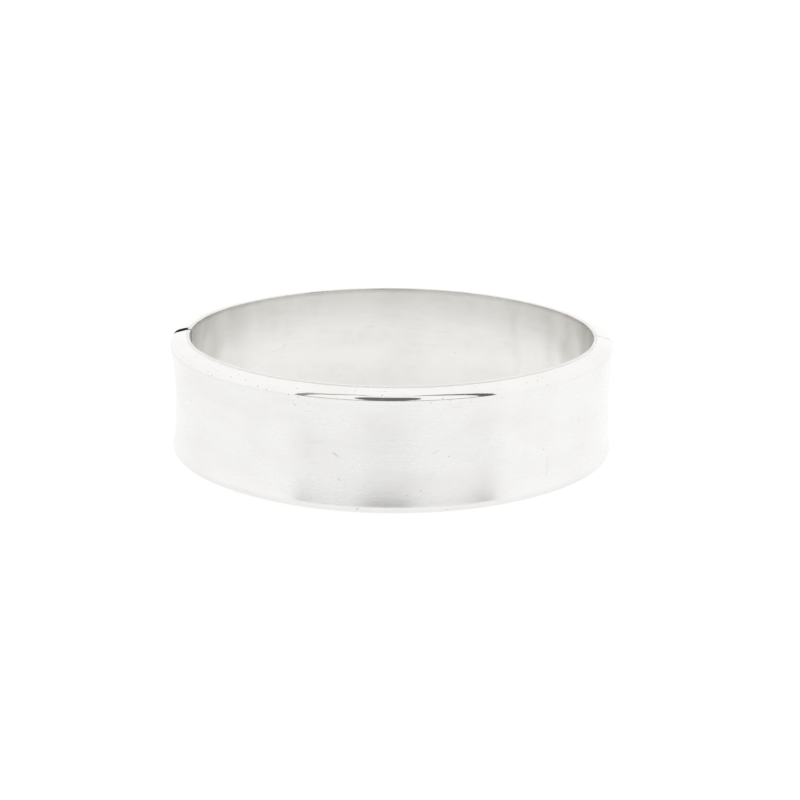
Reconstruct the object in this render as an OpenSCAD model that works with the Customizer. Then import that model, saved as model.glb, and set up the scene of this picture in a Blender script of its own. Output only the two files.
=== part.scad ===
// Hinged oval bangle: two hollow silver halves joined by a five-knuckle hinge at one end
// and a folded spring tongue at the other. Z is up, X runs from the hinge (-X) to the clasp (+X),
// and the front half is on the -Y side. The origin is in the middle of the face it stands on.

/* [Bangle] */
// Inside width, from the hinge to the clasp
inner_w = 58; // [54:0.5:64]
// Inside radius of the oval's two end arcs
end_r = 21; // [20:0.5:22.5]
// Distance of the long arcs' centres from the middle: more makes the oval rounder front to back
long_c = 6; // [4:0.5:8]
// Height of the band
band_h = 17.6; // [15:0.2:22]
// Thickness of the whole hollow wall
wall = 2.8; // [2.75:0.05:3]

/* [Sheet] */
// Thickness of the flat lining band
lining_t = 0.5; // [0.4:0.05:0.5]
// Thickness of the formed outer shell
shell_t = 0.4; // [0.3:0.05:0.4]
// How far the outer face is hollowed between the rims
face_sag = 0.5; // [0.3:0.05:0.5]
// How late the hollow flares out towards the rims: 2 is a plain arc
face_flare = 3; // [2:0.5:4]
// Radius of the rolled rim corner
rim_r = 1.0; // [0.8:0.1:1.2]
// Slope of the rim from the lining to the rolled corner, in degrees
rim_slope = 15; // [8:1:18]
// Thickness of the end plates
plate_t = 0.6; // [0.4:0.1:0.7]
// Gap between the closed halves
seam_gap = 0.1; // [0.06:0.02:0.16]

/* [Hinge] */
// Distance of the hinge pin from the inside surface
pin_in = 1.5; // [1.45:0.05:1.55]
// Radius of the hinge pin
pin_r = 0.4; // [0.3:0.05:0.45]
// Radius of the knuckle tube
barrel_r = 0.8; // [0.7:0.05:0.8]
// Distance of the knuckles from the top and bottom rims
knuckle_margin = 1.7; // [1.6:0.1:2.5]
// Gap between neighbouring knuckles
knuckle_gap = 0.08; // [0.05:0.01:0.12]
// Running clearance of the pin in the front knuckles
pin_clear = 0.03; // [0.02:0.01:0.06]
// Radius cut back from the rear shell so that the front corner can swing
relief_r = 1.55; // [1.5:0.05:1.6]

/* [Clasp] */
// Length of the tongue beyond the seam
tongue_len = 4.2; // [4:0.1:4.6]
// Height of the tongue
tongue_h = 6; // [5:0.5:7]
// Thickness of the tongue strip
strip_t = 0.22; // [0.18:0.01:0.24]
// Distance of the tongue from the inside surface at the seam
tongue_in = 0.74; // [0.72:0.01:0.76]
// Angle that the tongue leans inward to follow the band, in degrees
tongue_lean = 3.2; // [3:0.1:3.6]
// Angle that the spring leaf stands off the tongue, in degrees
leaf_angle = 6.5; // [6:0.1:7]
// Width of the thumb tab along the band
tab_w = 1.4; // [1.2:0.1:1.5]
// Height of the thumb tab
tab_h = 3.6; // [3:0.2:4]

/* [Hidden] */

// The oval is drawn with four arcs: two end arcs on the X axis, two long arcs on the Y axis
half_w = inner_w / 2;
end_c = half_w - end_r;
long_r = end_r + norm([end_c, long_c]);
mid_z = band_h / 2;
oval_fn = 180;
small_fn = 48;

// Rim corner arc: its centre, with the sloping top edge tangent to it
rim_u = wall - rim_r;
rim_z = band_h - (rim_u + rim_r * sin(rim_slope) - lining_t) * tan(rim_slope)
    - rim_r * cos(rim_slope);
face_half = rim_z - mid_z;
rim_steps = 5;
face_steps = 10;

// Hinge: five knuckles, the first and last on the front half. The front shell is slotted round
// them, "front_slot" deep from the seam, and the slot runs "slot_end" past the outer knuckles.
pin_x = -(half_w + pin_in);
knuckles = 5;
knuckle_pitch = (band_h - 2 * knuckle_margin) / knuckles;
front_slot = barrel_r + 0.15;
slot_end = 0.1;
slot_in = 0.05;
web_in = 1.0;
web_t = 0.7;
pin_head_r = 0.6;
pin_head_h = 0.25;

// Clasp: the spring leaf turns about the fold at the tongue's tip
seam_x = half_w;
fold_y = tongue_len;
leaf_gap = 0.04;
fold_x = seam_x + tongue_in + 1.5 * strip_t + leaf_gap
    - (fold_y - seam_gap / 2) * tan(tongue_lean);
leaf_len = 3.4;
fold_r = 0.15;

// Clasp: the thumb tab on its stem, and the notch in the rear shell that it sinks into
tab_t = 0.32;
tab_out = 1.98;
tab_y = 0.45;
stem_w = 0.5;
stem_h = 1.8;
stem_bite = 0.23;
notch_in = 1.58;
notch_clear = 0.25;

// Clasp: the slot in the catch plate, and the box behind it
mouth_in = 0.08;
mouth_out = 0.06;
mouth_clear = 0.25;
stem_slot_in = 1;
stem_swing = 1.3;
box_wall = 0.15;
box_cheek = 0.3;
box_clear = 0.4;
box_gap = 0.05;
box_len = 4.3;

// Points along an arc, as distance outward and height
function arc_points(cu, cz, r, a0, a1, steps) =
    [for (i = [0:steps]) let (a = a0 + (a1 - a0) * i / steps) [cu + r * cos(a), cz + r * sin(a)]];

// Shell outline pushed in from its outer face by "inset", from the top edge down to the bottom
function shell_line(inset) =
    let (
        top = [[lining_t, band_h - inset / cos(rim_slope)]],
        corner = arc_points(rim_u, rim_z, rim_r - inset, 90 - rim_slope, 0, rim_steps),
        face = [for (i = [1:face_steps - 1])
            let (t = 1 - 2 * i / face_steps)
            [wall - inset - face_sag * (1 - pow(abs(t), face_flare)), mid_z + face_half * t]],
        upper = concat(top, corner)
    )
    concat(upper, face, [for (i = [len(upper) - 1:-1:0]) [upper[i][0], band_h - upper[i][1]]]);

function reversed(list) = [for (i = [len(list) - 1:-1:0]) list[i]];

module shell_profile() polygon(concat(shell_line(0), reversed(shell_line(shell_t))));

module cavity_profile() polygon(shell_line(shell_t));

module lining_profile() square([lining_t, band_h]);

// A profile carried round one arc of the front half, kept inside a flat sector about its centre.
// The profile is drawn in distance from the inside surface.
module arc_band(centre, radius, sector)
    translate(centre)
        intersection() {
            rotate_extrude(angle = 180, start = 180, $fn = oval_fn)
                translate([radius, 0]) children();
            translate([0, 0, -1]) linear_extrude(band_h + 2) polygon(sector);
        }

// A profile carried round the front half, from seam to seam. Neighbouring arcs meet on the line
// through their two centres.
module front_band() {
    reach = 5;
    x = reach * end_c;
    y = reach * long_c;
    gap = seam_gap / 2;
    arc_band([-end_c, 0, 0], end_r, [[0, -gap], [-x, -gap], [-x, -y], [0, 0]]) children();
    arc_band([0, long_c, 0], long_r, [[0, 0], [-1.5 * x, -1.5 * y], [1.5 * x, -1.5 * y]]) children();
    arc_band([end_c, 0, 0], end_r, [[0, 0], [x, -y], [x, -gap], [0, -gap]]) children();
}

module rear_band() mirror([0, 1, 0]) front_band() children();

// A short stretch of a profile beside a seam, between two distances from the seam plane
module seam_piece(side, y0, y1)
    intersection() {
        translate([side * end_c, 0, 0])
            rotate_extrude(angle = 60, start = side > 0 ? -30 : 150, $fn = oval_fn)
                translate([end_r, 0]) children();
        translate([side > 0 ? 0 : -2 * half_w, y0, -1]) cube([2 * half_w, y1 - y0, band_h + 2]);
    }

module pin_axis() translate([pin_x, 0, 0]) children();

// Rear half -----------------------------------------------------------------

module rear_outer_shell()
    color("gainsboro")
        difference() {
            rear_band() shell_profile();
            pin_axis() translate([0, 0, -1]) cylinder(r = relief_r, h = band_h + 2, $fn = small_fn);
            tab_notch();
        }

module rear_inner_lining() color("lightgray") rear_band() lining_profile();

module rear_hinge_end_plate()
    color("darkgray") seam_piece(-1, relief_r, relief_r + plate_t) cavity_profile();

// Slotted catch plate: a wide slot for the pressed tongue, and a notch for the tab's stem
module rear_clasp_end_plate()
    color("darkgray")
        difference() {
            seam_piece(1, seam_gap / 2, seam_gap / 2 + plate_t) cavity_profile();
            tongue_mouth();
            stem_notch(plate_t + 1);
            tab_notch();
        }

module tongue_mouth() {
    x0 = seam_x + lining_t + mouth_in;
    x1 = seam_x + tongue_in + 2 * strip_t + leaf_gap + mouth_out;
    h = tongue_h + 2 * mouth_clear;
    translate([x0, -1, mid_z - h / 2]) cube([x1 - x0, plate_t + 2, h]);
}

// Slot for the tab's stem, from in front of the seam to "depth" behind it
module stem_notch(depth) {
    h = stem_h + 2 * notch_clear;
    translate([seam_x + stem_slot_in, -1, mid_z - h / 2]) cube([wall, depth + 1, h]);
}

// Opening through the outer skin that the thumb tab sinks into
module tab_notch() {
    depth = tab_y + tab_w + notch_clear;
    h = tab_h + 2 * notch_clear;
    translate([seam_x + notch_in, -1, mid_z - h / 2]) cube([wall, depth + 1, h]);
}

// Sheet box behind the catch plate that guides the tongue
module rear_catch_box()
    color("silver")
        difference() {
            seam_piece(1, seam_gap / 2 + plate_t, seam_gap / 2 + plate_t + box_len) box_profile(0);
            seam_piece(1, 0, seam_gap / 2 + plate_t + box_len - box_wall) box_profile(1);
            tab_notch();
            stem_notch(plate_t + stem_swing);
        }

module box_profile(inner) {
    inner_h = tongue_h + 2 * box_clear;
    box_u = wall - face_sag - shell_t - box_gap;
    u0 = lining_t + inner * box_wall;
    u1 = box_u - inner * box_wall;
    h = inner_h + (1 - inner) * 2 * box_cheek;
    translate([u0, mid_z - h / 2]) square([u1 - u0, h]);
}

// Hinge ---------------------------------------------------------------------

// One length of knuckle tube with the web that joins it to its end plate
module knuckle(index, side, bore_r, reach) {
    z0 = knuckle_margin + index * knuckle_pitch + knuckle_gap / 2;
    h = knuckle_pitch - knuckle_gap;
    web_x = -(half_w + web_in + web_t);
    pin_axis()
        translate([0, 0, z0])
            difference() {
                union() {
                    cylinder(r = barrel_r, h = h, $fn = small_fn);
                    translate([web_x - pin_x, side > 0 ? 0 : -reach, 0]) cube([web_t, reach, h]);
                }
                translate([0, 0, -1]) cylinder(r = bore_r, h = h + 2, $fn = small_fn);
            }
}

module rear_knuckle_lower() color("silver") knuckle(1, 1, pin_r, relief_r);

module rear_knuckle_upper() color("silver") knuckle(3, 1, pin_r, relief_r);

module front_knuckle_bottom() color("lightgray") knuckle(0, -1, pin_r + pin_clear, front_slot);

module front_knuckle_middle() color("lightgray") knuckle(2, -1, pin_r + pin_clear, front_slot);

module front_knuckle_top() color("lightgray") knuckle(4, -1, pin_r + pin_clear, front_slot);

// Wire pin with a riveted head at each end
module hinge_pin()
    color("dimgray")
        pin_axis() {
            head_z = knuckle_margin - knuckle_gap;
            translate([0, 0, head_z]) cylinder(r = pin_r, h = band_h - 2 * head_z, $fn = small_fn);
            for (z = [head_z - pin_head_h, band_h - head_z])
                translate([0, 0, z]) cylinder(r = pin_head_r, h = pin_head_h, $fn = small_fn);
        }

// Front half ----------------------------------------------------------------

module front_outer_shell()
    color("gainsboro")
        difference() {
            front_band() shell_profile();
            hinge_slot();
        }

// Slot that leaves room for the knuckles, between the two rims
module hinge_slot()
    translate([-(half_w + wall + 1), -front_slot, knuckle_margin - slot_end])
        cube([
            wall + 1 - lining_t - slot_in,
            front_slot + 1,
            band_h - 2 * (knuckle_margin - slot_end)
        ]);

module front_inner_lining() color("lightgray") front_band() lining_profile();

module front_hinge_end_plate()
    color("darkgray") seam_piece(-1, -front_slot - plate_t, -front_slot) cavity_profile();

module front_clasp_end_plate()
    color("darkgray")
        seam_piece(1, -seam_gap / 2 - plate_t, -seam_gap / 2) cavity_profile();

// Clasp ---------------------------------------------------------------------

// Fixed lower leaf of the folded tongue, leaning inward to follow the band
module clasp_tongue()
    color("silver")
        translate([seam_x + tongue_in, -seam_gap / 2, mid_z - tongue_h / 2])
            rotate([0, 0, tongue_lean])
                cube([strip_t, tongue_len - fold_r, tongue_h]);

// Upper leaf: it springs outward from the round fold, and its free end catches behind the plate
module clasp_spring_leaf()
    color("gainsboro") {
        translate([fold_x, fold_y, mid_z - tongue_h / 2]) {
            cylinder(r = fold_r, h = tongue_h, $fn = small_fn);
            rotate([0, 0, tongue_lean + leaf_angle])
                translate([-strip_t / 2, -leaf_len, 0]) cube([strip_t, leaf_len, tongue_h]);
        }
        tab_stem();
    }

module tab_stem() {
    stem_y = tab_y + (tab_w - stem_w) / 2;
    stem_x = seam_x + tongue_in + 2 * strip_t + stem_bite;
    translate([stem_x, stem_y, mid_z - stem_h / 2])
        cube([seam_x + tab_out - stem_x, stem_w, stem_h]);
}

module clasp_thumb_tab()
    color("silver")
        translate([seam_x + tab_out, tab_y, mid_z - tab_h / 2]) cube([tab_t, tab_w, tab_h]);

rear_outer_shell();
rear_inner_lining();
rear_hinge_end_plate();
rear_clasp_end_plate();
rear_catch_box();
rear_knuckle_lower();
rear_knuckle_upper();
hinge_pin();
front_outer_shell();
front_inner_lining();
front_hinge_end_plate();
front_clasp_end_plate();
front_knuckle_bottom();
front_knuckle_middle();
front_knuckle_top();
clasp_tongue();
clasp_spring_leaf();
clasp_thumb_tab();
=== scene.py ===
import math

import bmesh
import bpy
import numpy as np
from mathutils import Matrix, Vector


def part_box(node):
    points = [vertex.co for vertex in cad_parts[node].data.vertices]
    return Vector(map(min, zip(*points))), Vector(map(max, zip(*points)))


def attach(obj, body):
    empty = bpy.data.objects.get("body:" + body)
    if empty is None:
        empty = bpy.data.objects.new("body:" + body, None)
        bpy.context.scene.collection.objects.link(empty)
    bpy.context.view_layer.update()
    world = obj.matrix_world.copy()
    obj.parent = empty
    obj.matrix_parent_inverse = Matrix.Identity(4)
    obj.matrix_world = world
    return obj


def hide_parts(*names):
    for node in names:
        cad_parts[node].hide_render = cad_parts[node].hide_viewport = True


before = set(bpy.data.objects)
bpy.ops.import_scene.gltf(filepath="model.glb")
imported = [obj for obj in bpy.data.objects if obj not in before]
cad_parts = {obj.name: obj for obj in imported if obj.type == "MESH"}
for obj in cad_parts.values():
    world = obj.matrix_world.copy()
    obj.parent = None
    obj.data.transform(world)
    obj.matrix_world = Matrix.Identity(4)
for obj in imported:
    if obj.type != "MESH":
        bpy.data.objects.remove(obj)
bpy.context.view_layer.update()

# ---------------------------------------------------------------------------------------------
# Inner linings. Two plain bands of half-millimetre sterling sheet, bent round an oval mandrel:
# the inside of the bangle. Each carries the edge that the shell is soldered to, and its own edges
# are only broken with a file.
# ---------------------------------------------------------------------------------------------

MM = 0.001

lining_low, lining_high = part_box("front_inner_lining")
lining_t = 0.5 * MM
band_h = lining_high.z
half_width = lining_high.x - lining_t
half_depth = -lining_low.y - lining_t
seam_gap = -2 * lining_high.y

# The oval is bent tighter at its two ends. Its radius eases from the one to the other around the
# angle "ease_at", counted from the end, and the two radii follow from the half width and depth.
ease_at = math.radians(36.9)
ease_over = math.radians(13)
quarter = np.linspace(0, math.pi / 2, 721)
ease = np.clip((quarter - ease_at + ease_over) / (2 * ease_over), 0, 1)
end_share = 1 - ease * ease * (3 - 2 * ease)


def run_up(values):
    """Running integral over the quarter oval, from its end to its side."""
    steps = (values[1:] + values[:-1]) / 2 * (quarter[1] - quarter[0])
    return np.concatenate(([0], np.cumsum(steps)))


pull = [[run_up(share * trig(quarter))[-1] for share in (end_share, 1 - end_share)]
        for trig in (np.sin, np.cos)]
end_radius, side_radius = np.linalg.solve(pull, (half_width, half_depth))
bend = end_radius * end_share + side_radius * (1 - end_share)
quarter_x = half_width - run_up(bend * np.sin(quarter))
quarter_y = run_up(bend * np.cos(quarter))
quarter_length = run_up(bend)


def on_oval(turn, side, out):
    """Point at a distance out from the inside line. turn runs from 0 at the hinge to pi at the
    clasp, and side is -1 on the front half and 1 on the rear half."""
    fold = min(turn, math.pi - turn)
    x = np.interp(fold, quarter, quarter_x) + out * math.cos(fold)
    y = np.interp(fold, quarter, quarter_y) + out * math.sin(fold)
    return (-x if turn < math.pi / 2 else x), side * y


def length_at(turn):
    """Length along the inside line from the hinge seam, in metres."""
    half = quarter_length[-1]
    if turn < math.pi / 2:
        return np.interp(turn, quarter, quarter_length)
    return 2 * half - np.interp(math.pi - turn, quarter, quarter_length)


# A band's rows of points are close together for "end_reach" from each end, where it is cut. An
# end that is filed back takes the rows with it, less and less as far as "trim_reach".
seam_turn = seam_gap / 2 / end_radius
end_steps = 10
end_reach = math.radians(9)
trim_reach = end_reach * 1.6
long_steps = 108
weld = 0.001 * MM
sharp_from = math.radians(35)


def band_stations(*marks):
    """Turns at which a band has a row of points, with one at each mark."""
    near = [seam_turn + (end_reach - seam_turn) * i / end_steps for i in range(end_steps)]
    far = [end_reach + (math.pi - 2 * end_reach) * i / long_steps for i in range(long_steps + 1)]
    turns = near + far + [math.pi - t for t in reversed(near)]
    return sorted(set(turns) | set(marks))


def bend_band(name, section, side, turns, flip, closed=False, leave_out=None, start=None):
    """A sheet surface bent round half of the oval. section(turn) gives its cross-section there as
    (out, height) points, leave_out(turn, height) opens it, and start(out) trims its hinge end.
    A closed section comes back to its first point, and has its two ends filled."""
    mesh = bmesh.new()
    band_map = mesh.loops.layers.uv.new("band")
    rows = []
    for turn in turns:
        fade = 1 - min(max((turn - seam_turn) / trim_reach, 0), 1)
        row = []
        run = 0
        last = None
        for out, height in section(turn):
            shift = (start(out) - seam_turn) * fade if start else 0
            x, y = on_oval(turn + shift, side, out)
            if last:
                run += math.dist(last, (out, height))
            last = (out, height)
            row.append((mesh.verts.new((x, y, height)), length_at(turn + shift) / MM, run / MM))
        rows.append(row)
    for near, far, turn, next_turn in zip(rows, rows[1:], turns, turns[1:]):
        for k in range(len(near) - 1):
            height = (near[k][0].co.z + near[k + 1][0].co.z) / 2
            if leave_out and leave_out((turn + next_turn) / 2, height):
                continue
            corners = [near[k], near[k + 1], far[k + 1], far[k]]
            if flip:
                corners.reverse()
            face = mesh.faces.new([corner[0] for corner in corners])
            face.smooth = True
            for loop, corner in zip(face.loops, corners):
                loop[band_map].uv = corner[1:]
    if closed:
        bmesh.ops.remove_doubles(mesh, verts=mesh.verts, dist=weld)
        bmesh.ops.holes_fill(mesh, edges=mesh.edges)
        bmesh.ops.recalc_face_normals(mesh, faces=mesh.faces)
    loose = [vert for vert in mesh.verts if not vert.link_faces]
    bmesh.ops.delete(mesh, geom=loose, context="VERTS")
    for edge in mesh.edges:
        edge.smooth = len(edge.link_faces) < 2 or edge.calc_face_angle() < sharp_from
    data = bpy.data.meshes.new(name)
    mesh.to_mesh(data)
    mesh.free()
    band = bpy.data.objects.new(name, data)
    bpy.context.collection.objects.link(band)
    return band


class Nodes:
    """A short way to add shader nodes and join them."""

    def __init__(self, material):
        material.use_nodes = True
        self.tree = material.node_tree
        self.tree.nodes.clear()

    def add(self, kind, inputs=(), **settings):
        node = self.tree.nodes.new(kind)
        for key, value in settings.items():
            setattr(node, key, value)
        for key, value in dict(inputs).items():
            if isinstance(value, bpy.types.NodeSocket):
                self.tree.links.new(value, node.inputs[key])
            else:
                node.inputs[key].default_value = value
        return node

    def math(self, operation, *values, clamp=False):
        node = self.add("ShaderNodeMath", dict(enumerate(values)), operation=operation)
        node.use_clamp = clamp
        return node.outputs[0]

    def ramp(self, value, low, high, out_low=0.0, out_high=1.0):
        node = self.add("ShaderNodeMapRange", {
            "Value": value, "From Min": low, "From Max": high,
            "To Min": out_low, "To Max": out_high})
        return node.outputs["Result"]


brush_turn = 0.25
brush_blur = 0.83
rim_rough = 0.07
scratch_dark = (0.30, 0.29, 0.27, 1)

# Hairline scratches: their lean in degrees, cells per mm along and across them, and share kept.
hairlines = [(4, 0.11, 5.5, 0.05), (-9, 0.3, 6.5, 0.035), (-38, 0.35, 6.0, 0.022),
             (61, 0.3, 6.0, 0.022), (87, 0.22, 5.5, 0.012), (-14, 0.5, 7.0, 0.03)]


def worn_silver(name, base, dull, roughness, marks, seed, face=None, shade_bands=(), cuts=()):
    """Polished sterling: brushed lines along the band, hairline scratches, small dents and a
    thin uneven tarnish. base is the clean colour and dull the tarnished one, also used for the
    painted shade. face gives the stretch of the cross-section, in millimetres, that is brushed:
    the rims beside it have been rubbed bright and are nicked. Without a face, the film darkens
    towards both edges as painted shade. Each shade band is a soft band of painted shade across the
    sheet, given by its place along the band, its half width and its strength. Each cut is one
    deeper scratch, given by its middle (along, and up from mid-height), its length, its lean and
    its strength."""
    material = bpy.data.materials.new(name)
    n = Nodes(material)
    place = n.add("ShaderNodeUVMap", uv_map="band").outputs[0]
    along_band, across_band = n.add("ShaderNodeSeparateXYZ", {0: place}).outputs[:2]

    def stretched(along, across, angle=0.0):
        node = n.add("ShaderNodeMapping", {
            "Vector": place, "Rotation": (0, 0, math.radians(angle)),
            "Location": (seed * 3.7, seed * 1.9, 0)})
        scaled = n.add("ShaderNodeVectorMath", {0: node.outputs[0], 1: (along, across, 1)},
                       operation="MULTIPLY")
        return scaled.outputs[0]

    def noise(vector, detail=3.0, rough=0.55):
        node = n.add("ShaderNodeTexNoise", {
            "Vector": vector, "Scale": 1.0, "Detail": detail, "Roughness": rough},
            noise_dimensions="2D")
        return node.outputs["Fac"]

    # Brushed lines, finer ones, broad clouds of tarnish and smaller blotches, in waves per mm.
    lines = noise(stretched(0.07, 7.0), 4.0, 0.6)
    fine_lines = noise(stretched(0.25, 30.0), 2.0, 0.5)
    cloud = noise(stretched(0.13, 0.2), 4.0, 0.55)
    blotch = noise(stretched(0.55, 0.8), 5.0, 0.6)
    middle = (face[0] + face[1]) / 2 if face else (lining_t + band_h / 2) / MM
    off = n.math("ABSOLUTE", n.math("SUBTRACT", across_band, middle))
    if face:
        reach = (face[1] - face[0]) / 2
        rim = n.ramp(off, reach - 0.3, reach + 0.25)
        film_share, edge_film_and_shade = 0.5, n.math("MULTIPLY", rim, 0.4)
    else:
        # A flat band has no rims.
        rim = n.math("MULTIPLY", across_band, 0.0)
        # The film darkens towards both edges of a flat band: painted shade.
        film_share, edge_film_and_shade = 0.3, n.ramp(off, 2.0, 9.0, 0.0, 0.4)

    scratch = None
    for angle, along, across, share in hairlines:
        cell = n.add("ShaderNodeTexVoronoi", {
            "Vector": stretched(along, across, angle), "Scale": 1.0}, voronoi_dimensions="2D")
        thin = n.ramp(cell.outputs["Distance"], 0.02, 0.17, 1.0, 0.0)
        tone = n.add("ShaderNodeSeparateColor", {"Color": cell.outputs["Color"]})
        kept = n.math("LESS_THAN", tone.outputs[0], share * marks)
        depth = n.ramp(tone.outputs[1], 0.0, 1.0, 0.25, 1.0)
        mark = n.math("MULTIPLY", n.math("MULTIPLY", thin, kept), depth)
        scratch = mark if scratch is None else n.math("MAXIMUM", scratch, mark)
    # Small dents, which crowd on the rims, and the deeper scratches.
    cell = n.add("ShaderNodeTexVoronoi", {
        "Vector": stretched(1.1, 1.6, 20), "Scale": 1.0}, voronoi_dimensions="2D")
    spot = n.ramp(cell.outputs["Distance"], 0.03, 0.15, 1.0, 0.0)
    tone = n.add("ShaderNodeSeparateColor", {"Color": cell.outputs["Color"]}).outputs[1]
    common = n.math("ADD", n.math("MULTIPLY", rim, 0.07 * marks), 0.008 * marks)
    common = n.math("MULTIPLY", common, n.ramp(blotch, 0.35, 0.65, 0.3, 2.0))
    dent = n.math("MULTIPLY", spot, n.math("LESS_THAN", tone, common))
    for place_along, up, long, lean, strength in cuts:
        turned = n.add("ShaderNodeVectorRotate", {
            "Vector": place, "Center": (place_along, middle - up, 0),
            "Angle": math.radians(lean)}, rotation_type="Z_AXIS")
        off_x, off_y = n.add("ShaderNodeSeparateXYZ", {0: turned.outputs[0]}).outputs[:2]
        off_x = n.math("ABSOLUTE", n.math("SUBTRACT", off_x, place_along))
        off_y = n.math("ABSOLUTE", n.math("SUBTRACT", off_y, middle - up))
        cut_mark = n.math("MULTIPLY", n.ramp(off_x, long * 0.3, long * 0.5, strength, 0.0),
                          n.ramp(off_y, 0.02, 0.09, 1.0, 0.0))
        dent = n.math("MAXIMUM", dent, cut_mark)

    # The tarnish is a thin film: clouds, brushed lines, duller edges and the shade bands. On a band
    # without a face, the darker edges and the shade bands are painted shade in the tarnish colour.
    film = n.ramp(cloud, 0.4, 0.7)
    film = n.math("MULTIPLY", film, n.ramp(blotch, 0.3, 0.7, 0.4, 1.0), clamp=True)
    film = n.math("ADD", n.math("MULTIPLY", film, film_share),
                  n.math("MULTIPLY", n.ramp(lines, 0.4, 0.75), 0.05))
    film = n.math("ADD", film, edge_film_and_shade, clamp=True)
    wander = n.math("MULTIPLY", n.math("SUBTRACT", cloud, 0.5), 4.0)
    # Bands of painted shade across the sheet, in the tarnish colour.
    for place_along, half, strength in shade_bands:
        apart = n.math("SUBTRACT", n.math("ADD", along_band, wander), place_along)
        band = n.ramp(n.math("ABSOLUTE", apart), 0.0, half, strength, 0.0)
        film = n.math("ADD", film, band, clamp=True)
    tint = n.add("ShaderNodeMix", {"Factor": film, 6: (*base, 1), 7: (*dull, 1)}, data_type="RGBA")
    marked = n.math("MAXIMUM", n.math("MULTIPLY", scratch, 0.3), n.math("MULTIPLY", dent, 0.75))
    colour = n.add("ShaderNodeMix", {
        "Factor": marked, 6: tint.outputs[2], 7: scratch_dark}, data_type="RGBA")

    rough = n.ramp(n.math("ADD", n.math("MULTIPLY", lines, 0.5), n.math("MULTIPLY", cloud, 0.5)),
                   0.3, 0.7, roughness * 0.92, roughness * 1.1)
    rubbed = n.add("ShaderNodeMix", {0: rim, 2: rough, 3: rim_rough}).outputs[0]
    rough = n.math("ADD", rubbed, n.math("MULTIPLY", marked, 0.2), clamp=True)

    # The brushed relief, the slow waves left by hammer and file, and the marks cut into both.
    relief = n.math("ADD", n.math("MULTIPLY", lines, 0.7), n.math("MULTIPLY", fine_lines, 0.3))
    brushed = n.math("MULTIPLY", relief, n.math("SUBTRACT", 1.0, n.math("MULTIPLY", rim, 0.8)))
    brush = n.add("ShaderNodeBump", {
        "Strength": 1.0, "Distance": 0.0003 * MM, "Height": brushed})
    wave = n.add("ShaderNodeBump", {
        "Strength": 1.0, "Distance": 0.007 * MM, "Height": blotch, "Normal": brush.outputs[0]})
    cut = n.add("ShaderNodeBump", {
        "Strength": 1.0, "Distance": 0.012 * MM, "Height": n.math("SUBTRACT", 1.0, marked),
        "Normal": wave.outputs[0]})
    grain = n.add("ShaderNodeTangent", direction_type="UV_MAP", uv_map="band")
    surface = n.add("ShaderNodeBsdfPrincipled", {
        "Base Color": colour.outputs[2], "Metallic": 1.0, "Roughness": rough,
        "Anisotropic": brush_blur, "Anisotropic Rotation": brush_turn, "Tangent": grain.outputs[0],
        "Normal": cut.outputs[0]})
    n.add("ShaderNodeOutputMaterial", {"Surface": surface.outputs[0]})
    return material


# Bands of painted shade on the linings, in millimetres from the hinge, near the two ends.
lining_shade_bands = [(2.5, 3.5, 0.3), (9.0, 3.5, 0.5), (15.0, 3.0, 0.3), (62.0, 0.9, 0.2), (68.5, 2.0, 0.35),
           (72.5, 1.8, 0.5), (78.0, 2.5, 0.6), (83.0, 3.0, 0.35)]
lining_silver = worn_silver("lining_silver", (0.85, 0.845, 0.825), (0.70, 0.69, 0.665),
                            roughness=0.16, marks=0.6, seed=4, shade_bands=lining_shade_bands)

# A row of points just behind each rounded edge keeps the rest of the sheet's edge flat.
lining_rows = 24
lining_edge_r = 0.05 * MM
lining_edge_held = 1.4 * lining_edge_r
edge_steps = 4


def lining_section(turn):
    """Round the sheet: up its back, over the top, down its inside with both edges rounded."""
    rounded = []
    for k in range(edge_steps + 1):
        angle = math.pi / 2 * k / edge_steps
        rounded.append((lining_edge_r * (1 - math.sin(angle)),
                        band_h - lining_edge_r * (1 - math.cos(angle))))
    inside = [(0, band_h - lining_edge_r - (band_h - 2 * lining_edge_r) * k / lining_rows)
              for k in range(1, lining_rows)]
    bottom = [(out, band_h - height) for out, height in reversed(rounded)]
    top = [(lining_t, band_h), (lining_edge_held, band_h)]
    return (top + rounded + inside + bottom
            + [(lining_edge_held, 0), (lining_t, 0), (lining_t, band_h)])


hinge_ease = 0.35 * MM / end_radius


def eased(out):
    """Turn at which the rear lining starts, whatever out is: filed back so that it can't bind."""
    return hinge_ease


for half, side, start in (("front", -1, None), ("rear", 1, eased)):
    lining = bend_band(f"{half}_lining_band", lining_section, side, band_stations(), side < 0,
                       closed=True, start=start)
    lining.data.materials.append(lining_silver)
    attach(lining, f"{half}_half")
    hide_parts(f"{half}_inner_lining")

# ---------------------------------------------------------------------------------------------
# Outer shells. Each is one strip of sterling sheet pressed to a shallow hollow with rolled rims,
# bent round the lining and soldered to both its edges. The front one is slotted for the hinge
# knuckles; the rear one is cut back in a curve to let them turn, and notched for the thumb tab.
# ---------------------------------------------------------------------------------------------

shell_low, shell_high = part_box("front_outer_shell")
wall = -shell_low.y - half_depth
shell_t = 0.55 * MM
rim_r = 1.0 * MM
rim_slope = math.radians(15)
roll_past = math.radians(12.5)

# The face is hollowed deeper towards the hinge than towards the clasp.
hollow = 0.5 * MM
hollow_change = 0.12 * MM

rim_out = wall - rim_r
rim_height = (band_h - (rim_out + rim_r * math.sin(rim_slope) - lining_t) * math.tan(rim_slope)
              - rim_r * math.cos(rim_slope))
face_half = rim_height - rim_r * math.sin(roll_past) - band_h / 2

knuckle_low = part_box("front_knuckle_bottom")[0]
slot_depth = -knuckle_low.y
slot_turn = math.asin(slot_depth / (end_radius + wall - hollow))

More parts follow.
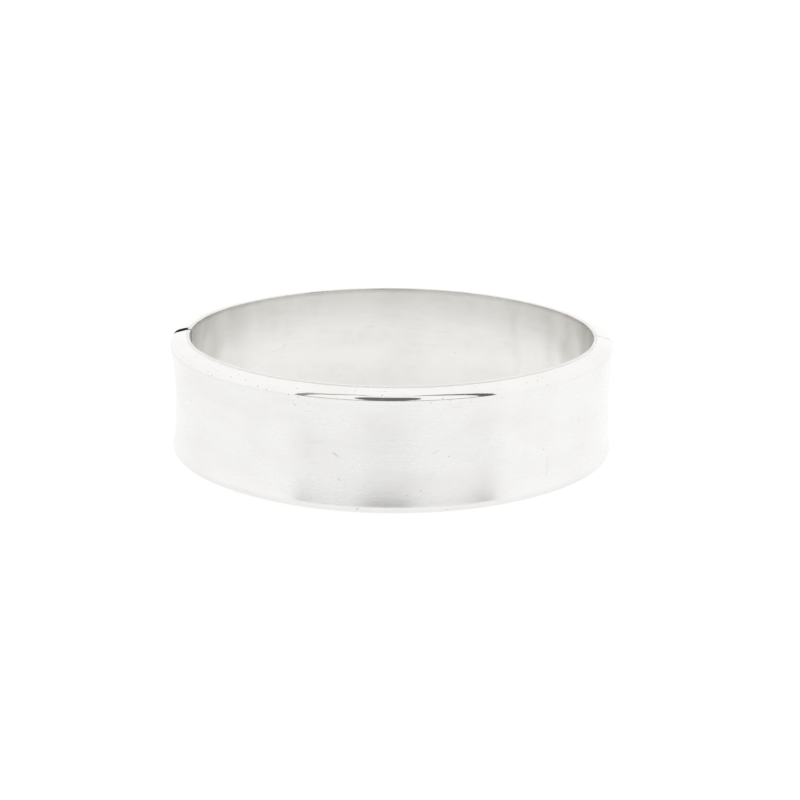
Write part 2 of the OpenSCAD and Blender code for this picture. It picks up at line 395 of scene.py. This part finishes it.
tab_low, tab_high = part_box("clasp_thumb_tab")
notch_clear = 0.25 * MM
notch_bottom = tab_low.z - notch_clear
notch_turn = math.pi - math.asin((tab_high.y + notch_clear) / (end_radius + wall - hollow))

slope_steps = 3
roll_steps = 16
face_steps = 44
row_apart = 0.6 / face_steps


def shell_section(turn):
    """Cross-section of the shell's outside, from its top edge to its bottom edge. The rolled rim
    turns a little past upright, and the hollow carries on from it without a corner."""
    here = hollow + hollow_change * math.cos(turn)
    deep = here - rim_r * (1 - math.cos(roll_past))
    floor_out = wall - here
    flare = math.tan(roll_past) * face_half / deep
    upper = []
    roll_start = (rim_out + rim_r * math.sin(rim_slope), rim_height + rim_r * math.cos(rim_slope))
    for k in range(slope_steps):
        share = k / slope_steps
        upper.append((lining_t + (roll_start[0] - lining_t) * share,
                      band_h + (roll_start[1] - band_h) * share))
    for k in range(roll_steps + 1):
        angle = math.pi / 2 - rim_slope - (math.pi / 2 - rim_slope + roll_past) * k / roll_steps
        upper.append((rim_out + rim_r * math.cos(angle), rim_height + rim_r * math.sin(angle)))
    # The rows of the face, with one at each edge of the notch for the thumb tab.
    face = []
    levels = {1 - 2 * k / face_steps for k in range(1, face_steps)}
    notch_level = (band_h / 2 - notch_bottom) / face_half
    levels = {t for t in levels if abs(abs(t) - notch_level) > row_apart}
    levels |= {notch_level, -notch_level}
    for t in sorted(levels, reverse=True):
        face.append((floor_out + deep * abs(t) ** flare, band_h / 2 + face_half * t))
    return upper + face + [(out, band_h - height) for out, height in reversed(upper)]


pin_low, pin_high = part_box("hinge_pin")
pin_x = (pin_low.x + pin_high.x) / 2
relief_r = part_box("rear_knuckle_lower")[1].y


def relief_turn(out):
    """Turn at which the rear shell starts: a circle about the pin trims it."""
    reach = end_radius + out
    centre = end_radius - half_width - pin_x
    cosine = (reach ** 2 + centre ** 2 - relief_r ** 2) / (2 * reach * centre)
    return math.acos(min(cosine, 1))


def hinge_slot(turn, height):
    """True over the opening for the knuckles."""
    return turn < slot_turn and abs(height - band_h / 2) < face_half


def tab_notch(turn, height):
    """True over the opening that the thumb tab sinks into."""
    return turn > notch_turn and abs(height - band_h / 2) < band_h / 2 - notch_bottom


# Near the hinge pin the sheet is darkened: old polish, and painted shade for the recess there.
grime_and_shade_to = (2.2 * MM, 3.6 * MM)
grime_and_shade_dark = (0.035, 0.033, 0.03, 1)


def raw_silver(name):
    """Inside and cut edges of the sheet: never polished. Near the hinge pin it is darker: old
    polish, and painted shade for the recess there.
    """
    material = bpy.data.materials.new(name)
    n = Nodes(material)
    place = n.add("ShaderNodeTexCoord").outputs["Object"]
    flat = n.add("ShaderNodeVectorMath", {0: place, 1: (1, 1, 0)}, operation="MULTIPLY")
    away = n.add("ShaderNodeVectorMath", {0: flat.outputs[0], 1: (pin_x, 0, 0)},
                 operation="DISTANCE").outputs["Value"]
    # Painted shade, with old polish, within reach of the pin.
    grime_and_shade = n.ramp(away, grime_and_shade_to[0], grime_and_shade_to[1], 1.0, 0.0)
    grain = n.add("ShaderNodeTexNoise", {"Vector": place, "Scale": 1800.0, "Detail": 5.0})
    tint = n.add("ShaderNodeMix", {
        "Factor": n.ramp(grain.outputs["Fac"], 0.35, 0.7), 6: (0.56, 0.55, 0.52, 1),
        7: (0.36, 0.35, 0.32, 1)}, data_type="RGBA")
    dark = n.add("ShaderNodeMix", {
        "Factor": grime_and_shade, 6: tint.outputs[2], 7: grime_and_shade_dark}, data_type="RGBA")
    bump = n.add("ShaderNodeBump", {
        "Strength": 0.5, "Distance": 0.01 * MM, "Height": grain.outputs["Fac"]})
    surface = n.add("ShaderNodeBsdfPrincipled", {
        "Base Color": dark.outputs[2], "Metallic": 1.0,
        "Roughness": n.ramp(grain.outputs["Fac"], 0.3, 0.7, 0.35, 0.55),
        "Normal": bump.outputs[0]})
    n.add("ShaderNodeOutputMaterial", {"Surface": surface.outputs[0]})
    return material


# Where the brushed face lies across the strip, in millimetres. It is brushed a little way over
# the lower roll. The scratches are the few deep ones on it.
at_side = shell_section(math.pi / 2)
runs = [math.dist(a, b) for a, b in zip(at_side, at_side[1:])]
face_from = sum(runs[:slope_steps + roll_steps]) / MM
face_to = sum(runs) / MM - face_from
brushed_over = 0.3
scratches = [(36.4, -0.2, 1.2, -40, 0.7), (48.8, 0.4, 1.1, 30, 0.4), (64.5, -4.2, 3.4, 86, 0.25),
             (39.2, -7.5, 0.35, 20, 1.0), (31.2, 6.3, 0.6, -60, 0.6), (36.8, -3.6, 0.7, -55, 0.4)]
outer_silver = worn_silver("outer_silver", (0.875, 0.87, 0.855), (0.81, 0.80, 0.78),
                           roughness=0.28, marks=0.8, seed=1,
                           face=(face_from, face_to + brushed_over), cuts=scratches)

front_shell = bend_band("front_shell_strip", shell_section, -1, band_stations(slot_turn), False,
                        leave_out=hinge_slot)
rear_shell = bend_band("rear_shell_strip", shell_section, 1, band_stations(notch_turn), True,
                       leave_out=tab_notch, start=relief_turn)
inside_silver = raw_silver("inside_silver")
for half, shell in (("front", front_shell), ("rear", rear_shell)):
    sheet = shell.modifiers.new("sheet", "SOLIDIFY")
    sheet.thickness = shell_t
    sheet.offset = -1
    sheet.use_even_offset = True
    sheet.material_offset = 1
    sheet.material_offset_rim = 1
    shell.data.materials.append(outer_silver)
    shell.data.materials.append(inside_silver)
    shaped = shell.evaluated_get(bpy.context.evaluated_depsgraph_get())
    shell.data = bpy.data.meshes.new_from_object(shaped)
    shell.modifiers.clear()
    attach(shell, f"{half}_half")
    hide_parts(f"{half}_outer_shell")

# The relief for the knuckles is filed right through the rear sheet.
for vert in rear_shell.data.vertices:
    across = vert.co.x - pin_x
    if abs(across) < relief_r:
        vert.co.y = max(vert.co.y, math.sqrt(relief_r ** 2 - across ** 2))

# ---------------------------------------------------------------------------------------------
# End plates. A thin sheet plate closes each end of the hollow halves. They are sawn out, filed to
# fit and soldered in, so they keep their file marks. The two at the hinge are dark like the sheet,
# with old polish and painted shade near the pin.
# ---------------------------------------------------------------------------------------------


def filed_silver(name, base, marks_along, rough):
    """Filed or drawn silver: fine straight marks along one direction, and spots of tarnish."""
    material = bpy.data.materials.new(name)
    n = Nodes(material)
    place = n.add("ShaderNodeTexCoord").outputs["Object"]
    long_way = n.add("ShaderNodeVectorMath", {0: place, 1: marks_along}, operation="MULTIPLY")
    marks = n.add("ShaderNodeTexNoise", {
        "Vector": long_way.outputs[0], "Scale": 1.0, "Detail": 4.0}).outputs["Fac"]
    spots = n.add("ShaderNodeTexNoise", {
        "Vector": place, "Scale": 1300.0, "Detail": 4.0}).outputs["Fac"]
    tint = n.add("ShaderNodeMix", {
        "Factor": n.ramp(spots, 0.42, 0.72), 6: (*base, 1),
        7: (base[0] * 0.66, base[1] * 0.64, base[2] * 0.58, 1)}, data_type="RGBA")
    bump = n.add("ShaderNodeBump", {"Strength": 1.0, "Distance": 0.004 * MM, "Height": marks})
    surface = n.add("ShaderNodeBsdfPrincipled", {
        "Base Color": tint.outputs[2], "Metallic": 1.0,
        "Roughness": n.ramp(marks, 0.3, 0.7, rough * 0.75, rough * 1.3),
        "Normal": bump.outputs[0]})
    n.add("ShaderNodeOutputMaterial", {"Surface": surface.outputs[0]})
    return material


def finish_cad(names, material):
    """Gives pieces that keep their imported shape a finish."""
    for name in names:
        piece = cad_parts[name]
        piece.data.materials.clear()
        piece.data.materials.append(material)


plate_silver = filed_silver("plate_silver", (0.66, 0.65, 0.62), (900, 900, 9000), 0.32)
finish_cad(("front_clasp_end_plate", "rear_clasp_end_plate"), plate_silver)
finish_cad(("front_hinge_end_plate", "rear_hinge_end_plate"), inside_silver)

# ---------------------------------------------------------------------------------------------
# Hinge. Five lengths of drawn tube are soldered in turn to the two halves, three to the front and
# two to the rear. Their ends are chamfered and they stand on short bars; they are darker towards
# the gaps, partly dark polish and partly painted shade, and the crowns of the tubes are worn
# bright.
# ---------------------------------------------------------------------------------------------

knuckle_edge = 0.05 * MM
tube_steps = 48
pin_r = 0.4 * MM
pin_clear = 0.03 * MM

# A knuckle's bar lies between these distances from the inside surface, and starts off the seam.
bar_out = (1.0 * MM, 1.7 * MM)
bar_from = 0.5 * MM


def add_tube(mesh, centre, low, high, radius, bore, edge):
    """A tube along Z with chamfered ends."""
    outline = [(bore, low + edge), (bore + edge, low), (radius - edge, low), (radius, low + edge),
               (radius, high - edge), (radius - edge, high), (bore + edge, high),
               (bore, high - edge)]
    rings = []
    for k in range(tube_steps):
        angle = 2 * math.pi * k / tube_steps
        rings.append([mesh.verts.new((centre[0] + r * math.cos(angle),
                                      centre[1] + r * math.sin(angle), z)) for r, z in outline])
    for k in range(tube_steps):
        near, far = rings[k], rings[(k + 1) % tube_steps]
        for i in range(len(outline)):
            j = (i + 1) % len(outline)
            mesh.faces.new((near[i], near[j], far[j], far[i]))


def add_bar(mesh, low, high, edge):
    """A rectangular bar with its edges broken."""
    bar = bmesh.ops.create_cube(mesh, size=1)["verts"]
    for vert in bar:
        vert.co = Vector([(a + b) / 2 + (b - a) * c for a, b, c in zip(low, high, vert.co)])
    edges = list({e for v in bar for e in v.link_edges})
    bmesh.ops.bevel(mesh, geom=edges, offset=edge, segments=2, profile=0.5, affect="EDGES")


def shape_object(name, mesh, material, sharp=sharp_from):
    """Turns a finished mesh into an object, smooth except over its sharp edges."""
    bmesh.ops.recalc_face_normals(mesh, faces=mesh.faces)
    for face in mesh.faces:
        face.smooth = True
    for edge in mesh.edges:
        edge.smooth = edge.calc_face_angle(0) < sharp
    data = bpy.data.meshes.new(name)
    mesh.to_mesh(data)
    mesh.free()
    data.materials.append(material)
    piece = bpy.data.objects.new(name, data)
    bpy.context.collection.objects.link(piece)
    return piece


knuckles = [("bottom", "front"), ("lower", "rear"), ("middle", "front"), ("upper", "rear"),
            ("top", "front")]
last_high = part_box("front_knuckle_top")[1]
knuckle_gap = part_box("rear_knuckle_lower")[0].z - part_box("front_knuckle_bottom")[1].z
pitch = (last_high.z - knuckle_low.z + knuckle_gap) / len(knuckles)
barrel_r = pin_x - knuckle_low.x


def hinge_silver(name):
    """Drawn tube with turned ends: bright crowns, and darker towards the gaps: dark polish, and
    painted shade.
    """
    material = bpy.data.materials.new(name)
    n = Nodes(material)
    place = n.add("ShaderNodeTexCoord").outputs["Object"]
    height = n.add("ShaderNodeSeparateXYZ", {0: place}).outputs[2]
    along = n.math("DIVIDE", n.math("SUBTRACT", height, knuckle_low.z - knuckle_gap / 2), pitch)
    from_gap = n.math("PINGPONG", along, 0.5)
    turned = n.add("ShaderNodeVectorMath", {0: place, 1: (1500, 1500, 14000)},
                   operation="MULTIPLY")
    rings = n.add("ShaderNodeTexNoise", {
        "Vector": turned.outputs[0], "Scale": 1.0, "Detail": 3.0}).outputs["Fac"]
    spots = n.add("ShaderNodeTexNoise", {
        "Vector": place, "Scale": 1700.0, "Detail": 5.0}).outputs["Fac"]
    # Darker towards the gaps between knuckles, dark polish and painted shade, with tarnish spots.
    grime_and_shade = n.math("ADD", n.ramp(from_gap, 0.02, 0.14, 0.85, 0.0),
                   n.ramp(spots, 0.5, 0.75, 0.0, 0.4), clamp=True)
    tint = n.add("ShaderNodeMix", {
        "Factor": grime_and_shade, 6: (0.74, 0.73, 0.70, 1), 7: (0.16, 0.15, 0.13, 1)}, data_type="RGBA")
    bump = n.add("ShaderNodeBump", {"Strength": 1.0, "Distance": 0.003 * MM, "Height": rings})
    surface = n.add("ShaderNodeBsdfPrincipled", {
        "Base Color": tint.outputs[2], "Metallic": 1.0,
        "Roughness": n.math("ADD", n.ramp(rings, 0.3, 0.7, 0.2, 0.3),
                            n.math("MULTIPLY", grime_and_shade, 0.2)),
        "Normal": bump.outputs[0]})
    n.add("ShaderNodeOutputMaterial", {"Surface": surface.outputs[0]})
    return material


tube_silver = hinge_silver("tube_silver")
for place, half in knuckles:
    node = f"{half}_knuckle_{place}"
    low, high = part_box(node)
    side = -1 if half == "front" else 1
    reach = max(abs(low.y), abs(high.y))
    bore = pin_r + (pin_clear if half == "front" else 0)
    mesh = bmesh.new()
    add_tube(mesh, (pin_x, 0), low.z, high.z, barrel_r, bore, knuckle_edge)
    bar_ends = sorted((side * bar_from, side * reach))
    add_bar(mesh, (-half_width - bar_out[1], bar_ends[0], low.z),
            (-half_width - bar_out[0], bar_ends[1], high.z), knuckle_edge / 2)
    knuckle = shape_object(f"knuckle_{place}", mesh, tube_silver)
    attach(knuckle, f"{half}_half")
    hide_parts(node)

# ---------------------------------------------------------------------------------------------
# Hinge pin. A length of drawn silver wire through the five knuckles, riveted over at both ends
# with a small hammer, which leaves low domed heads.
# ---------------------------------------------------------------------------------------------

head_r = (pin_high.x - pin_low.x) / 2
head_h = 0.25 * MM
dome_h = 0.8 * head_h
dome_steps = 6
pin_outline = []
for end, into in ((pin_low.z, 1), (pin_high.z, -1)):
    dome = []
    for k in range(dome_steps + 1):
        angle = math.pi / 2 * k / dome_steps
        dome.append((head_r * math.sin(angle),
                     end + into * dome_h * (1 - math.cos(angle))))
    dome += [(head_r, end + into * head_h), (pin_r, end + into * head_h)]
    pin_outline += dome if into > 0 else list(reversed(dome))
mesh = bmesh.new()
rings = []
for k in range(tube_steps):
    angle = 2 * math.pi * k / tube_steps
    rings.append([mesh.verts.new((pin_x + r * math.cos(angle), r * math.sin(angle), z))
                  for r, z in pin_outline])
for k in range(tube_steps):
    near, far = rings[k], rings[(k + 1) % tube_steps]
    for i in range(len(pin_outline) - 1):
        mesh.faces.new((near[i], near[i + 1], far[i + 1], far[i]))
bmesh.ops.remove_doubles(mesh, verts=mesh.verts, dist=weld / 2)
wire_silver = filed_silver("wire_silver", (0.70, 0.69, 0.66), (6000, 6000, 500), 0.25)
pin = shape_object("riveted_pin", mesh, wire_silver)
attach(pin, "rear_half")
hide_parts("hinge_pin")

# ---------------------------------------------------------------------------------------------
# Catch. A folded box of thin sheet is soldered behind the slotted plate and guides the tongue.
# The tongue and its spring leaf are one strip of hard-rolled silver, folded back on itself; the
# strip is drawn smooth along its length.
# ---------------------------------------------------------------------------------------------

box_silver = filed_silver("box_silver", (0.62, 0.61, 0.58), (1200, 6000, 1200), 0.36)
finish_cad(("rear_catch_box",), box_silver)
strip_silver = filed_silver("strip_silver", (0.77, 0.76, 0.735), (9000, 500, 9000), 0.24)
finish_cad(("clasp_tongue", "clasp_spring_leaf"), strip_silver)

# ---------------------------------------------------------------------------------------------
# Thumb tab. A small pad on the spring leaf's stem that lies in its notch, level with the hollow of
# the face. It is domed and polished, with three filed grooves for the nail.
# ---------------------------------------------------------------------------------------------

tab_corner = 0.3 * MM
dome_fall = 0.25
grooved_over = 0.8
groove_deep = 0.05 * MM
groove_wide = 0.16 * MM
groove_pitch = 0.55 * MM
pad_steps = (14, 60)
back_edge = 0.06 * MM


def pad_surface(y, z):
    """Height of the pad's face above its back: a low dome with grooves, falling at the edges."""
    across = abs(2 * y / (tab_high.y - tab_low.y))
    up = abs(2 * z / (tab_high.z - tab_low.z))
    dome = (tab_high.x - tab_low.x) * (1 - dome_fall * across ** 4) * (1 - dome_fall * up ** 8)
    for k in (-1, 0, 1):
        off = abs(z - k * groove_pitch) / groove_wide
        dome -= groove_deep * max(0, 1 - off * off) * (1 if across < grooved_over else 0.4)
    return dome


mesh = bmesh.new()
middle = (tab_low + tab_high) / 2
half_y = (tab_high.y - tab_low.y) / 2
half_z = (tab_high.z - tab_low.z) / 2
front, behind = [], []
for i in range(pad_steps[0] + 1):
    row, back_row = [], []
    for j in range(pad_steps[1] + 1):
        y = half_y * (2 * i / pad_steps[0] - 1)
        z = half_z * (2 * j / pad_steps[1] - 1)
        over_y = max(abs(y) - (half_y - tab_corner), 0)
        over_z = max(abs(z) - (half_z - tab_corner), 0)
        stretch = max(over_y, over_z) / math.hypot(over_y, over_z) if over_y and over_z else 1
        y -= math.copysign(over_y * (1 - stretch), y)
        z -= math.copysign(over_z * (1 - stretch), z)
        row.append(mesh.verts.new((tab_low.x + pad_surface(y, z), middle.y + y, middle.z + z)))
        from_edge = min(half_y - abs(y), half_z - abs(z))
        broken = back_edge * max(0, 1 - from_edge / (4 * back_edge))
        back_row.append(mesh.verts.new((tab_low.x + broken, middle.y + y, middle.z + z)))
    front.append(row)
    behind.append(back_row)
for i in range(pad_steps[0]):
    for j in range(pad_steps[1]):
        mesh.faces.new((front[i][j], front[i + 1][j], front[i + 1][j + 1], front[i][j + 1]))
        mesh.faces.new((behind[i][j], behind[i][j + 1], behind[i + 1][j + 1], behind[i + 1][j]))
rim_path = ([(i, 0) for i in range(pad_steps[0])] + [(pad_steps[0], j) for j in range(pad_steps[1])]
            + [(i, pad_steps[1]) for i in range(pad_steps[0], 0, -1)]
            + [(0, j) for j in range(pad_steps[1], 0, -1)])
for (i, j), (k, m) in zip(rim_path, rim_path[1:] + rim_path[:1]):
    mesh.faces.new((front[i][j], behind[i][j], behind[k][m], front[k][m]))
thumb_silver = filed_silver("thumb_silver", (0.84, 0.835, 0.815), (700, 5000, 700), 0.14)
thumb_tab = shape_object("thumb_tab", mesh, thumb_silver, math.radians(50))
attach(thumb_tab, "spring_leaf")
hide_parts("clasp_thumb_tab")

# ---------------------------------------------------------------------------------------------
# Light table and tent, no part of the bangle: a white table lit from below, in a white tent. The
# darker edges of the tent's open front, and someone standing there, show in the rolled rims as a
# dark lens.
# ---------------------------------------------------------------------------------------------

# The lamps under the table are a little stronger on the right.
tent_glow = 1.1
table_glow = (0.90, 0.94)
table_matt = 0.13
table_half = 3.0

world = bpy.data.worlds.new("tent light")
bpy.context.scene.world = world
world.use_nodes = True
world.node_tree.nodes["Background"].inputs[0].default_value = (1, 1, 1, 1)
world.node_tree.nodes["Background"].inputs[1].default_value = tent_glow

table_data = bpy.data.meshes.new("light_table")
table_data.from_pydata([(-table_half, -table_half, 0), (table_half, -table_half, 0),
                        (table_half, table_half, 0), (-table_half, table_half, 0)],
                       [], [(0, 1, 2, 3)])
table = bpy.data.objects.new("light_table", table_data)
bpy.context.collection.objects.link(table)
table_white = bpy.data.materials.new("table_white")
n = Nodes(table_white)
across_table = n.add("ShaderNodeSeparateXYZ", {
    0: n.add("ShaderNodeTexCoord").outputs["Object"]}).outputs[0]
lit_through = n.add("ShaderNodeEmission", {
    "Color": (1, 1, 1, 1), "Strength": n.ramp(across_table, -0.05, 0.05, *table_glow)})
matt = n.add("ShaderNodeBsdfDiffuse", {"Color": (table_matt, table_matt, table_matt, 1)})
both = n.add("ShaderNodeAddShader", {0: lit_through.outputs[0], 1: matt.outputs[0]})
n.add("ShaderNodeOutputMaterial", {"Surface": both.outputs[0]})
table_data.materials.append(table_white)

tent_reach = 0.42


def toward(azimuth, elevation, reach=tent_reach):
    """Point in a direction from the bangle: azimuth 0 is straight in front of it."""
    a = math.radians(azimuth)
    e = math.radians(elevation)
    return Vector((reach * math.cos(e) * math.sin(a), -reach * math.cos(e) * math.cos(a),
                   reach * math.sin(e)))


def tent_edge(name, directions, width, shade, narrowing=0):
    """A strip along these directions, facing the bangle, and narrower towards its ends."""
    points = []
    for k, (azimuth, elevation) in enumerate(directions):
        a, b = directions[max(k - 1, 0)], directions[min(k + 1, len(directions) - 1)]
        taper = 1 - narrowing * abs(2 * k / (len(directions) - 1) - 1) ** 2
        here = toward(azimuth, elevation)
        along = (toward(*b) - toward(*a)).normalized()
        aside = along.cross(here.normalized()) * width * taper / 2
        points.append((here + aside, here - aside))
    data = bpy.data.meshes.new(name)
    verts = [tuple(p) for pair in points for p in pair]
    faces = [(2 * k, 2 * k + 1, 2 * k + 3, 2 * k + 2) for k in range(len(points) - 1)]
    data.from_pydata(verts, [], faces)
    strip = bpy.data.objects.new(name, data)
    bpy.context.collection.objects.link(strip)
    strip.visible_camera = False
    material = bpy.data.materials.new(name)
    n = Nodes(material)
    surface = n.add("ShaderNodeBsdfDiffuse", {"Color": (shade, shade, shade, 1)})
    n.add("ShaderNodeOutputMaterial", {"Surface": surface.outputs[0]})
    data.materials.append(material)


left_edge, right_edge = -40.5, 46
corner_up, top_sag, sill_up = 78, 14, 2.5
figure_from, figure_to = 6, 50
shares = [k / 12 for k in range(13)]
across_opening = [left_edge + (right_edge - left_edge) * share for share in shares]
top = [(azimuth, corner_up - top_sag * math.sin(math.pi * share))
       for azimuth, share in zip(across_opening, shares)]
left_side = [(left_edge, corner_up * k / 8) for k in range(9)]
right_side = [(right_edge, corner_up * k / 8) for k in range(9)]
sill = [(azimuth, sill_up) for azimuth in across_opening]
figure = [(0, figure_from + (figure_to - figure_from) * share) for share in shares]
tent_edge("opening_top", top, width=0.02, shade=0.52)
tent_edge("opening_left", left_side, width=0.036, shade=0.3)
tent_edge("opening_right", right_side, width=0.055, shade=0.15)
tent_edge("opening_sill", sill, width=0.042, shade=0.15)
tent_edge("figure_in_front", figure, width=0.21, shade=0.17, narrowing=0.45)

# ---------------------------------------------------------------------------------------------
# Camera. A short telephoto lens about 28 cm away looks a little down on the front half. Light may
# pass many times between the polished walls at the tight ends of the oval.
# ---------------------------------------------------------------------------------------------

look_at = Vector((0, 0, band_h / 2))
camera_away = 0.277
camera_up = math.radians(17.86)
camera_round = math.radians(2.3)
camera_roll = math.radians(0.24)
back = Vector((math.sin(camera_round) * math.cos(camera_up),
               -math.cos(camera_round) * math.cos(camera_up), math.sin(camera_up)))
camera_data = bpy.data.cameras.new("camera")
camera_data.sensor_width = 36
camera_data.lens = 85.8
camera_data.shift_x = 0.0109
camera_data.shift_y = -0.0112
camera_data.clip_start = 0.01
camera = bpy.data.objects.new("camera", camera_data)
bpy.context.collection.objects.link(camera)
turned = back.to_track_quat("Z", "Y").to_matrix().to_4x4()
camera.matrix_world = (Matrix.Translation(look_at + camera_away * back) @ turned
                       @ Matrix.Rotation(camera_roll, 4, "Z"))
bpy.context.scene.camera = camera
bpy.context.scene.view_settings.view_transform = "Standard"
bpy.context.scene.cycles.glossy_bounces = 12
bpy.context.scene.cycles.max_bounces = 16
